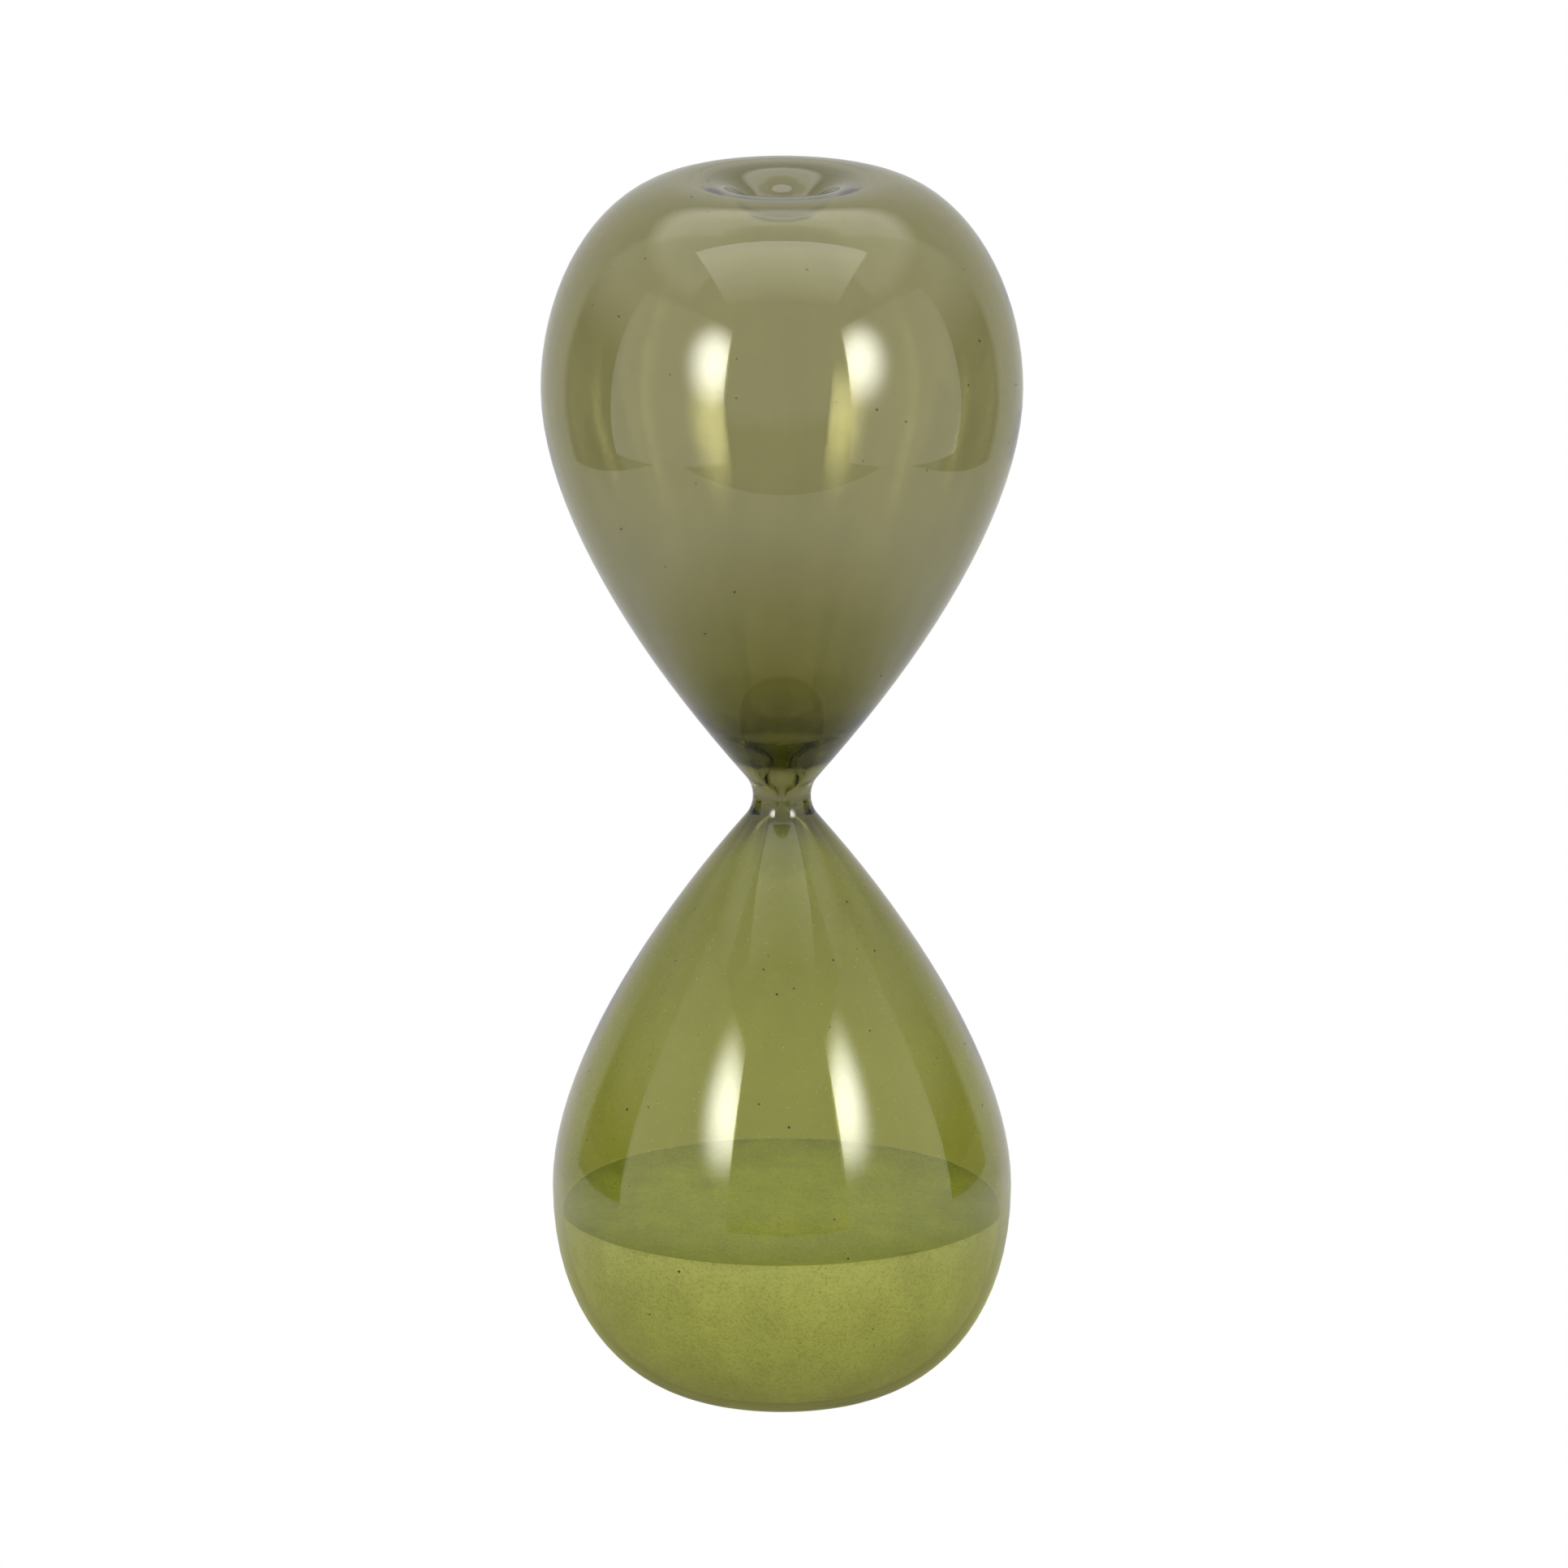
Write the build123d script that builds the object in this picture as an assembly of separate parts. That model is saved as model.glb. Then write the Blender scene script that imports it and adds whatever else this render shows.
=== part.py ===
from build123d import *
import os
from math import cos, radians, sin

# A sealed sandglass of thick blown glass with no frame. Millimetres, +Z up, standing on z = 0.
# Each bulb's outline is drawn from its own end: "rise" is the height above that end's rest ring,
# and the upper bulb is the same drawing turned over.

# Driving dimensions
height = 300.0  # from one rest ring to the other
wall = 2.0  # blown wall of both bulbs
sand_clearance = 0.3  # between the sand and the glass

# One entry per bulb. A pull is the length of a Bezier handle: (outside, inside).
# The funnel is the cavity's run over the solid neck into the orifice. Its rim and side are
# (radius, distance from the waist, angle from the axis), and its pulls run from the rim
# to the side and from the side to the orifice.
lower = {
    "length": 148.0,  # rest ring to waist
    "radius": 55.5,
    "widest": 50.5,  # rise of the widest point
    "foot_pull": (7.5, 10.0),
    "belly_pull": (40.0, 36.4),
    "shoulder_pull": (26.0, 26.6),
    "cone_pull": (39.5, 22.0),
    "funnel_rim": (14.6, 16.0, 41.5),
    "funnel_side": (7.6, 9.5, 50.0),
    "funnel_pull": (3.0, 3.0, 4.5, 4.5),
}
upper = {
    "length": height - lower["length"],
    "radius": 57.7,
    "widest": 51.0,
    "foot_pull": (19.5, 21.5),
    "belly_pull": (27.0, 23.3),
    "shoulder_pull": (27.5, 27.4),
    "cone_pull": (42.0, 14.3),
    "funnel_rim": (18.75, 20.0, 41.5),
    "funnel_side": (11.2, 13.4, 52.0),
    "funnel_pull": (4.0, 4.0, 5.0, 3.5),
}

# Both ends: a flat rest ring around a kicked-in hollow, closed at its centre by a melted button
ring_outer = 22.5
ring_inner = 20.5
kick_depth = 6.0
kick_flat = 4.6  # radius of the flat at the bottom of the hollow
kick_pull = (11.0, 11.5)  # handle at the ring, outside and inside
kick_flat_pull = (3.5, 4.0)
seal_shank = 3.0  # radius of the filling hole, which the seal closes
seal_head = 4.4
seal_rise = 1.5

# Waist: a round throat that opens into a straight cone, with the orifice through it
waist_radius = 7.0
waist_bend = 8.0
cone_angle = 40.0  # from the axis
orifice_radius = 0.6
seam_from_waist = 12.0  # where the bulbs are fused to the neck

# Sand
sand_level = 46.0  # at the wall
sand_crown = 2.0  # how much higher the middle of the mound is

waist = lower["length"]
os.makedirs("parts", exist_ok=True)


def point(bulb, radius, rise):
    """A point of a bulb's outline, in the XZ plane."""
    z = rise if bulb is lower else height - rise
    return (radius, 0, z)


def curve(bulb, *controls):
    return Bezier(*[point(bulb, radius, rise) for radius, rise in controls])


def end_outside(bulb):
    """From the filling hole over the hollow and the rest ring to the widest point."""
    radius = bulb["radius"]
    widest = bulb["widest"]
    hole = point(bulb, seal_shank, kick_depth)
    flat = point(bulb, kick_flat, kick_depth)
    inner = point(bulb, ring_inner, 0)
    outer = point(bulb, ring_outer, 0)
    return [
        Line(hole, flat),
        curve(
            bulb,
            (kick_flat, kick_depth),
            (kick_flat + kick_flat_pull[0], kick_depth),
            (ring_inner - kick_pull[0], 0),
            (ring_inner, 0),
        ),
        Line(inner, outer),
        curve(
            bulb,
            (ring_outer, 0),
            (ring_outer + bulb["foot_pull"][0], 0),
            (radius, widest - bulb["belly_pull"][0]),
            (radius, widest),
        ),
    ]


def end_inside(bulb, inset, hole_radius):
    """The same stretch at a depth of inset under the outside; its ring is a plain crest."""
    radius = bulb["radius"] - inset
    widest = bulb["widest"]
    crest = (ring_inner + ring_outer) / 2
    hole = point(bulb, hole_radius, kick_depth + inset)
    flat = point(bulb, kick_flat, kick_depth + inset)
    return [
        Line(hole, flat),
        curve(
            bulb,
            (kick_flat, kick_depth + inset),
            (kick_flat + kick_flat_pull[1], kick_depth + inset),
            (crest - kick_pull[1], inset),
            (crest, inset),
        ),
        curve(
            bulb,
            (crest, inset),
            (crest + bulb["foot_pull"][1], inset),
            (radius, widest - bulb["belly_pull"][1]),
            (radius, widest),
        ),
    ]


def towards_waist(start, angle, length):
    """The end of a handle that leads from start towards the waist, at that angle from the axis."""
    radius, rise = start
    return (radius - length * sin(radians(angle)), rise + length * cos(radians(angle)))


def cone_outside(bulb):
    """From the widest point along the cone and round the throat to the waist."""
    angle = radians(cone_angle)
    radius = bulb["radius"]
    shoulder = (radius, bulb["widest"] + bulb["shoulder_pull"][0])
    bend_start = (
        waist_radius + waist_bend * (1 - cos(angle)),
        bulb["length"] - waist_bend * sin(angle),
    )
    bend_middle = (
        waist_radius + waist_bend * (1 - cos(angle / 2)),
        bulb["length"] - waist_bend * sin(angle / 2),
    )
    cone = towards_waist(bend_start, cone_angle, -bulb["cone_pull"][0])
    return [
        curve(bulb, (radius, bulb["widest"]), shoulder, cone, bend_start),
        ThreePointArc(
            point(bulb, *bend_start),
            point(bulb, *bend_middle),
            point(bulb, waist_radius, bulb["length"]),
        ),
    ]


def funnel_inside(bulb):
    """From the widest point along the wall, over the solid neck and into the orifice."""
    radius = bulb["radius"] - wall
    length = bulb["length"]
    rim_radius, rim_distance, rim_angle = bulb["funnel_rim"]
    side_radius, side_distance, side_angle = bulb["funnel_side"]
    from_rim, to_side, from_side, to_orifice = bulb["funnel_pull"]
    shoulder = (radius, bulb["widest"] + bulb["shoulder_pull"][1])
    rim = (rim_radius, length - rim_distance)
    side = (side_radius, length - side_distance)
    orifice = (orifice_radius, length)
    cone = towards_waist(rim, rim_angle, -bulb["cone_pull"][1])
    past_rim = towards_waist(rim, rim_angle, from_rim)
    before_side = towards_waist(side, side_angle, -to_side)
    past_side = towards_waist(side, side_angle, from_side)
    return [
        curve(bulb, (radius, bulb["widest"]), shoulder, cone, rim),
        curve(bulb, rim, past_rim, before_side, side),
        curve(bulb, side, past_side, (orifice_radius, length - to_orifice), orifice),
    ]


def envelope():
    """All the blown glass as one hollow solid, with the two filling holes open."""
    edges = []
    for bulb in (lower, upper):
        edges += end_outside(bulb)
        edges += end_inside(bulb, wall, seal_shank)
        edges += cone_outside(bulb)
        edges += funnel_inside(bulb)
        rim_outside = point(bulb, seal_shank, kick_depth)
        rim_inside = point(bulb, seal_shank, kick_depth + wall)
        edges.append(Line(rim_outside, rim_inside))
    return revolve(make_face(edges), Axis.Z)


def cut_at_seams(glass):
    """Lower bulb, neck and upper bulb, which meet on two flat rings."""
    seam_below = Plane.XY.offset(waist - seam_from_waist)
    seam_above = Plane.XY.offset(waist + seam_from_waist)
    lower_bulb = split(glass, seam_below, keep=Keep.BOTTOM)
    upper_bulb = split(glass, seam_above, keep=Keep.TOP)
    middle = split(glass, seam_below, keep=Keep.TOP)
    neck = split(middle, seam_above, keep=Keep.BOTTOM)
    return lower_bulb, neck, upper_bulb


def end_seal(bulb):
    """A button of melted glass: a shank through the wall and a rounded head in the hollow."""
    inside = kick_depth + wall
    tip = kick_depth - seal_rise
    shoulder = (seal_head, kick_depth - seal_rise * 0.6)
    edges = [
        Line(point(bulb, 0, tip), point(bulb, 0, inside)),
        Line(point(bulb, 0, inside), point(bulb, seal_shank, inside)),
        Line(point(bulb, seal_shank, inside), point(bulb, seal_shank, kick_depth)),
        Line(point(bulb, seal_shank, kick_depth), point(bulb, seal_head, kick_depth)),
        curve(bulb, (seal_head, kick_depth), shoulder, (seal_head * 0.6, tip), (0, tip)),
    ]
    return revolve(make_face(edges), Axis.Z)


def sand():
    """The whole charge in the lower bulb: its underside follows the glass, its top is a low mound."""
    inset = wall + sand_clearance
    widest = lower["widest"]
    inside_radius = lower["radius"] - inset
    bowl = end_inside(lower, inset, 0)
    bowl.append(Line((inside_radius, 0, widest), (0, 0, widest)))
    bowl.append(Line((0, 0, widest), (0, 0, kick_depth + inset)))
    filled = revolve(make_face(bowl), Axis.Z)

    reach = lower["radius"]
    crown = sand_level + sand_crown
    under_mound = [
        Line((0, 0, 0), (reach, 0, 0)),
        Line((reach, 0, 0), (reach, 0, sand_level)),
        Bezier(
            (reach, 0, sand_level),
            (reach * 0.6, 0, sand_level),
            (reach * 0.4, 0, crown),
            (0, 0, crown),
        ),
        Line((0, 0, crown), (0, 0, 0)),
    ]
    return filled & revolve(make_face(under_mound), Axis.Z)


lower_bulb, neck, upper_bulb = cut_at_seams(envelope())
nodes = {
    "lower_bulb": lower_bulb,
    "neck": neck,
    "upper_bulb": upper_bulb,
    "lower_end_seal": end_seal(lower),
    "upper_end_seal": end_seal(upper),
    "sand": sand(),
}
for name, shape in nodes.items():
    export_step(shape, f"parts/{name}.step")
    box = shape.bounding_box()
    print(name, f"{shape.volume / 1000:.1f} cm3, z {box.min.Z:.2f} to {box.max.Z:.2f} mm")
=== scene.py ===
import math
import bpy
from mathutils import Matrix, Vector


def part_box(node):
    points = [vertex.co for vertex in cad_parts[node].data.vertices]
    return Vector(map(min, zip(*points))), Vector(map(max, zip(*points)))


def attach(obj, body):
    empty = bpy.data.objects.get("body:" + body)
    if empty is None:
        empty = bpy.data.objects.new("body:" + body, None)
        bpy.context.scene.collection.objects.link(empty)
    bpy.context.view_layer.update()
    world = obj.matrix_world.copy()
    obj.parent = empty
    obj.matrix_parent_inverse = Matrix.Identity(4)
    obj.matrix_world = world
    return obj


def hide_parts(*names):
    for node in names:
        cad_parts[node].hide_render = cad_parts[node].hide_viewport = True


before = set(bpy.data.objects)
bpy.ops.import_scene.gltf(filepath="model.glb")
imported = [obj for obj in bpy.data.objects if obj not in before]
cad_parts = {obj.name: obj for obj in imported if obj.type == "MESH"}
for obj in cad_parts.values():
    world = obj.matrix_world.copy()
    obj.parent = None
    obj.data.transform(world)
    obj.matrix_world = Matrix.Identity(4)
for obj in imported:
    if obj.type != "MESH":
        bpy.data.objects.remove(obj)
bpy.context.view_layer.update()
scene = bpy.context.scene
mm = 0.001
print("frame loaded")


# helpers

def linear(hexColour):
    # sRGB hex to the linear values that Blender's sockets take
    parts = [int(hexColour[i:i + 2], 16) / 255 for i in (1, 3, 5)]
    return tuple(c / 12.92 if c <= 0.04045 else ((c + 0.055) / 1.055) ** 2.4 for c in parts) + (1,)


def addNode(tree, kind, inputs={}, **settings):
    # an input takes a plain value, a socket, or a node, which stands for its first output
    node = tree.nodes.new(kind)
    for name, value in settings.items():
        setattr(node, name, value)
    for key, value in inputs.items():
        if isinstance(value, bpy.types.Node):
            value = value.outputs[0]
        if isinstance(value, bpy.types.NodeSocket):
            tree.links.new(value, node.inputs[key])
        else:
            node.inputs[key].default_value = value
    return node


def newMaterial(name):
    # a node material with an empty tree
    material = bpy.data.materials.new(name)
    material.use_nodes = True
    material.node_tree.nodes.clear()
    return material, material.node_tree


def newTree(name, sizes):
    # a Geometry Nodes tree with named inputs; returns it with its input node and its output node
    tree = bpy.data.node_groups.new(name, "GeometryNodeTree")
    for way in ("INPUT", "OUTPUT"):
        tree.interface.new_socket("Geometry", in_out=way, socket_type="NodeSocketGeometry")
    for label, kind in sizes.items():
        tree.interface.new_socket(label, in_out="INPUT", socket_type="NodeSocket" + kind)
    return tree, tree.nodes.new("NodeGroupInput"), tree.nodes.new("NodeGroupOutput")


def meshFrom(host, tree, values, name):
    # runs the tree on the host and keeps the result as a plain mesh object, without the host
    modifier = host.modifiers.new(name, "NODES")
    modifier.node_group = tree
    for item in tree.interface.items_tree:
        if item.in_out == "INPUT" and item.name in values:
            modifier[item.identifier] = values[item.name]
    graph = bpy.context.evaluated_depsgraph_get()
    mesh = bpy.data.meshes.new_from_object(
        host.evaluated_get(graph), preserve_all_data_layers=True, depsgraph=graph)
    bpy.data.objects.remove(host)
    mesh.name = name
    piece = bpy.data.objects.new(name, mesh)
    scene.collection.objects.link(piece)
    print(name, len(mesh.polygons), "faces", mesh.materials[:])
    return piece


def outlineCurve(name, splines, steps, material):
    # each knot is (point, handle back, handle ahead): radius and height in mm, handles as offsets
    curve = bpy.data.curves.new(name, "CURVE")
    curve.dimensions = "3D"
    curve.materials.append(material)
    for knots in splines:
        spline = curve.splines.new("BEZIER")
        spline.bezier_points.add(len(knots) - 1)
        spline.resolution_u = steps
        for knot, (point, back, ahead) in zip(spline.bezier_points, knots):
            centre = Vector((point[0], 0, point[1])) * mm
            knot.handle_left_type = knot.handle_right_type = "FREE"
            knot.co = centre
            knot.handle_left = centre + Vector((back[0], 0, back[1])) * mm
            knot.handle_right = centre + Vector((ahead[0], 0, ahead[1])) * mm
    outline = bpy.data.objects.new(name, curve)
    scene.collection.objects.link(outline)
    return outline


# the blown envelope

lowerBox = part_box("lower_bulb")
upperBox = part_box("upper_bulb")
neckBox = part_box("neck")
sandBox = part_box("sand")
height = upperBox[1].z / mm
waistHeight = (neckBox[0].z + neckBox[1].z) / 2 / mm
sandCrown = 2.0  # mm, how much higher the middle of the sand is than its edge
sandLevel = sandBox[1].z / mm - sandCrown  # mm, at the wall

glass = {
    "wall": 2.0,
    # each pull is the length of an outline handle: (outside, inside), in mm
    "lower": {
        "length": waistHeight,
        "radius": lowerBox[1].x / mm,
        "widest": 50.5,
        "footPull": (7.5, 10.0),
        "bellyPull": (40.0, 36.4),
        "shoulderPull": (26.0, 26.6),
        "conePull": (39.5, 22.0),
        # the funnel's two knots: radius, distance from the waist, angle from the axis
        "funnelRim": (14.6, 16.0, math.radians(41.5)),
        "funnelSide": (7.6, 9.5, math.radians(50)),
        "funnelPull": (3.0, 3.0, 4.5, 4.5),
    },
    "upper": {
        "length": height - waistHeight,
        "radius": upperBox[1].x / mm,
        "widest": 51.0,
        "footPull": (19.5, 21.5),
        "bellyPull": (27.0, 23.3),
        "shoulderPull": (27.5, 27.4),
        "conePull": (42.0, 14.3),
        "funnelRim": (18.75, 20.0, math.radians(41.5)),
        "funnelSide": (11.2, 13.4, math.radians(52)),
        "funnelPull": (4.0, 4.0, 5.0, 3.5),
    },
    "ringOuter": 22.5,
    "ringInner": 20.5,
    "kickDepth": 6.0,
    "kickFlat": 4.6,
    "kickPull": (11.0, 11.5),
    "kickFlatPull": (3.5, 4.0),
    "sealHead": 4.4,
    "sealRise": 1.5,
    "waist": 7.0,
    "waistBend": 8.0,
    "coneAngle": math.radians(40),
    "orifice": 0.6,
    "outlineSteps": 20,
    "turnSteps": 160,
    "ripple": 0.10 * mm,  # the waviness that blowing leaves
    "rippleLength": 38 * mm,
    "seedsPerM2": 500.0,  # tiny air bubbles in the wall
    "seedSize": 0.28 * mm,
    "seedDepth": (0.4 * mm, 1.6 * mm),
    "seedStretch": ((0.5, 0.5, 0.6), (0.9, 0.9, 1.8)),  # least and most, as shares of the size
    "randomSeed": 7,
}


def endOutside(bulb):
    # from the seal's tip over the hollow and the rest ring to the widest point
    depth, head, rise = glass["kickDepth"], glass["sealHead"], glass["sealRise"]
    ring = glass["ringOuter"] - glass["ringInner"]
    return [
        ((0, depth - rise), (0, 0), (head * 0.5, 0)),
        ((head - 0.4, depth - rise * 0.4), (-0.3, -0.35), (0.3, 0.35)),
        ((head + 0.8, depth), (-0.5, 0), (glass["kickFlatPull"][0], 0)),
        ((glass["ringInner"], 0), (-glass["kickPull"][0], 0), (ring / 3, 0)),
        ((glass["ringOuter"], 0), (-ring / 3, 0), (bulb["footPull"][0], 0)),
        ((bulb["radius"], bulb["widest"]),
         (0, -bulb["bellyPull"][0]), (0, bulb["shoulderPull"][0])),
    ]


def endInside(bulb, inset):
    # the same stretch seen from the cavity, at a depth of inset under the outside
    flat = glass["kickFlat"]
    crest = (glass["ringInner"] + glass["ringOuter"]) / 2
    depth = glass["kickDepth"] + inset
    radius = bulb["radius"] - inset
    return [
        ((0, depth), (0, 0), (flat / 3, 0)),
        ((flat, depth), (-flat / 3, 0), (glass["kickFlatPull"][1], 0)),
        ((crest, inset), (-glass["kickPull"][1], 0), (bulb["footPull"][1], 0)),
        ((radius, bulb["widest"]), (0, -bulb["bellyPull"][1]), (0, bulb["shoulderPull"][1])),
    ]


def along(angle, length):
    # a handle that leads towards the waist at that angle from the axis
    return (-math.sin(angle) * length, math.cos(angle) * length)


def coneOutside(bulb):
    # the cone's end and the round waist
    angle, bend = glass["coneAngle"], glass["waistBend"]
    arcPull = 4 / 3 * math.tan(angle / 4) * bend
    start = (glass["waist"] + bend * (1 - math.cos(angle)), bulb["length"] - bend * math.sin(angle))
    return [
        (start, along(angle, -bulb["conePull"][0]), along(angle, arcPull)),
        ((glass["waist"], bulb["length"]), (0, -arcPull), (0, arcPull)),
    ]


def funnelInside(bulb):
    # the cavity leaves the wall, flattens over the solid neck and runs into the orifice
    (rim, rimDown, rimAngle), (side, sideDown, sideAngle) = bulb["funnelRim"], bulb["funnelSide"]
    fromRim, toSide, fromSide, toBore = bulb["funnelPull"]
    length = bulb["length"]
    return [
        ((rim, length - rimDown), along(rimAngle, -bulb["conePull"][1]), along(rimAngle, fromRim)),
        ((side, length - sideDown), along(sideAngle, -toSide), along(sideAngle, fromSide)),
        ((glass["orifice"], length), (0, -toBore), (0, toBore)),
    ]


def turnedOver(knots):
    # the same outline for the upper bulb, whose drawing starts from its own end
    return [((r, height - z), (ahead[0], -ahead[1]), (back[0], -back[1]))
            for (r, z), back, ahead in reversed(knots)]


def fullOutline(side):
    # one skin of the whole glass, from its foot to its top: "outside" or "inside"
    halves = []
    for bulb in (glass["lower"], glass["upper"]):
        if side == "outside":
            halves.append(endOutside(bulb) + coneOutside(bulb))
        else:
            halves.append(endInside(bulb, glass["wall"]) + funnelInside(bulb))
    below, above = halves[0], turnedOver(halves[1])
    waistKnot = (below[-1][0], below[-1][1], above[0][2])
    return below[:-1] + [waistKnot] + above[1:]


def spinTree():
    # turns one outline round Z into a closed skin whose faces point at the axis
    tree, start, end = newTree("spin_outline", {"Turn steps": "Int"})
    points = addNode(tree, "GeometryNodeCurveToPoints",
                     {"Curve": start.outputs["Geometry"]}, mode="EVALUATED")
    size = addNode(tree, "GeometryNodeAttributeDomainSize",
                   {"Geometry": points}, component="POINTCLOUD")
    count = size.outputs["Point Count"]
    turns = addNode(tree, "ShaderNodeMath", {0: start.outputs["Turn steps"], 1: 1.0},
                    operation="ADD")
    grid = addNode(tree, "GeometryNodeMeshGrid",
                   {"Size X": 1.0, "Size Y": 1.0, "Vertices X": count, "Vertices Y": turns})
    place = addNode(tree, "GeometryNodeInputPosition")
    apart = addNode(tree, "ShaderNodeSeparateXYZ", {0: place})
    spans = addNode(tree, "ShaderNodeMath", {0: count, 1: 1.0}, operation="SUBTRACT")
    share = addNode(tree, "ShaderNodeMath", {0: apart.outputs["X"], 1: 0.5}, operation="ADD")
    index = addNode(tree, "ShaderNodeMath", {0: share, 1: spans, 2: 0.5}, operation="MULTIPLY_ADD")
    angle = addNode(tree, "ShaderNodeMath",
                    {0: apart.outputs["Y"], 1: 2 * math.pi, 2: math.pi}, operation="MULTIPLY_ADD")
    onOutline = addNode(tree, "GeometryNodeSampleIndex",
                        {"Geometry": points, "Value": place, "Index": index},
                        data_type="FLOAT_VECTOR")
    turned = addNode(tree, "ShaderNodeVectorRotate", {"Vector": onOutline, "Angle": angle},
                     rotation_type="Z_AXIS")
    skin = addNode(tree, "GeometryNodeSetPosition",
                   {"Geometry": grid.outputs["Mesh"], "Position": turned})
    closed = addNode(tree, "GeometryNodeMergeByDistance",
                     {"Geometry": skin, "Distance": 0.0005 * mm})
    tree.links.new(closed.outputs[0], end.inputs["Geometry"])
    return tree


spinOutline = spinTree()


def envelopeTree():
    # spins both skins, gives them their ripple and scatters bubbles between them
    tree, start, end = newTree("blown_envelope", {
        "Turn steps": "Int", "Ripple": "Float", "Ripple length": "Float",
        "Seeds per square metre": "Float", "Seed size": "Float", "Random seed": "Int",
        "Glass": "Material"})
    index = addNode(tree, "GeometryNodeInputIndex")
    first = addNode(tree, "FunctionNodeCompare", {2: index, 3: 0},
                    data_type="INT", operation="EQUAL")
    split = addNode(tree, "GeometryNodeSeparateGeometry",
                    {"Geometry": start.outputs["Geometry"], "Selection": first}, domain="CURVE")
    skins = []
    for outside in (1.0, 0.0):
        outline = split.outputs["Selection" if outside else "Inverted"]
        skin = addNode(tree, "GeometryNodeGroup",
                       {"Geometry": outline, "Turn steps": start.outputs["Turn steps"]},
                       node_tree=spinOutline)
        if outside:
            skin = addNode(tree, "GeometryNodeFlipFaces", {"Mesh": skin})
        scale = addNode(tree, "ShaderNodeMath", {0: 1.0, 1: start.outputs["Ripple length"]},
                        operation="DIVIDE")
        # W keeps the two skins' waves apart
        waves = addNode(tree, "ShaderNodeTexNoise",
                        {"Scale": scale, "Detail": 1.0, "Roughness": 0.35, "W": 3.0 + 4 * outside},
                        noise_dimensions="4D")
        centred = addNode(tree, "ShaderNodeMath", {0: waves.outputs["Fac"], 1: 2.0, 2: -1.0},
                          operation="MULTIPLY_ADD")
        lift = addNode(tree, "ShaderNodeMath", {0: centred, 1: start.outputs["Ripple"]},
                       operation="MULTIPLY")
        offset = addNode(tree, "ShaderNodeVectorMath",
                         {0: addNode(tree, "GeometryNodeInputNormal"), "Scale": lift},
                         operation="SCALE")
        skin = addNode(tree, "GeometryNodeSetPosition", {"Geometry": skin, "Offset": offset})
        skin = addNode(tree, "GeometryNodeStoreNamedAttribute",
                       {"Geometry": skin, "Name": "outside", "Value": outside},
                       data_type="FLOAT", domain="POINT")
        skins.append(skin)
    scattered = addNode(tree, "GeometryNodeDistributePointsOnFaces",
                        {"Mesh": skins[0], "Density": start.outputs["Seeds per square metre"],
                         "Seed": start.outputs["Random seed"]})
    shallow, deep = glass["seedDepth"]
    depth = addNode(tree, "FunctionNodeRandomValue", {2: -deep, 3: -shallow, "Seed": 11},
                    data_type="FLOAT")
    inward = addNode(tree, "ShaderNodeVectorMath",
                     {0: scattered.outputs["Normal"], "Scale": depth.outputs[1]},
                     operation="SCALE")
    spots = addNode(tree, "GeometryNodeSetPosition", {"Geometry": scattered, "Offset": inward})
    bubble = addNode(tree, "GeometryNodeMeshUVSphere", {"Segments": 8, "Rings": 5, "Radius": 0.5})
    bubble = addNode(tree, "GeometryNodeFlipFaces", {"Mesh": bubble})
    least, most = glass["seedStretch"]
    stretch = addNode(tree, "FunctionNodeRandomValue", {0: least, 1: most, "Seed": 5},
                      data_type="FLOAT_VECTOR")
    sized = addNode(tree, "ShaderNodeVectorMath",
                    {0: stretch.outputs[0], "Scale": start.outputs["Seed size"]},
                    operation="SCALE")
    seeds = addNode(tree, "GeometryNodeInstanceOnPoints",
                    {"Points": spots, "Instance": bubble, "Scale": sized})
    seeds = addNode(tree, "GeometryNodeRealizeInstances", {"Geometry": seeds})
    joined = addNode(tree, "GeometryNodeJoinGeometry")
    for part in (*skins, seeds):
        tree.links.new(part.outputs[0], joined.inputs[0])
    smooth = addNode(tree, "GeometryNodeSetShadeSmooth", {0: joined})
    solid = addNode(tree, "GeometryNodeRealizeInstances", {"Geometry": smooth})
    finished = addNode(tree, "GeometryNodeSetMaterial",
                       {"Geometry": solid, "Material": start.outputs["Glass"]})
    tree.links.new(finished.outputs[0], end.inputs["Geometry"])
    return tree


# materials

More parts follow.
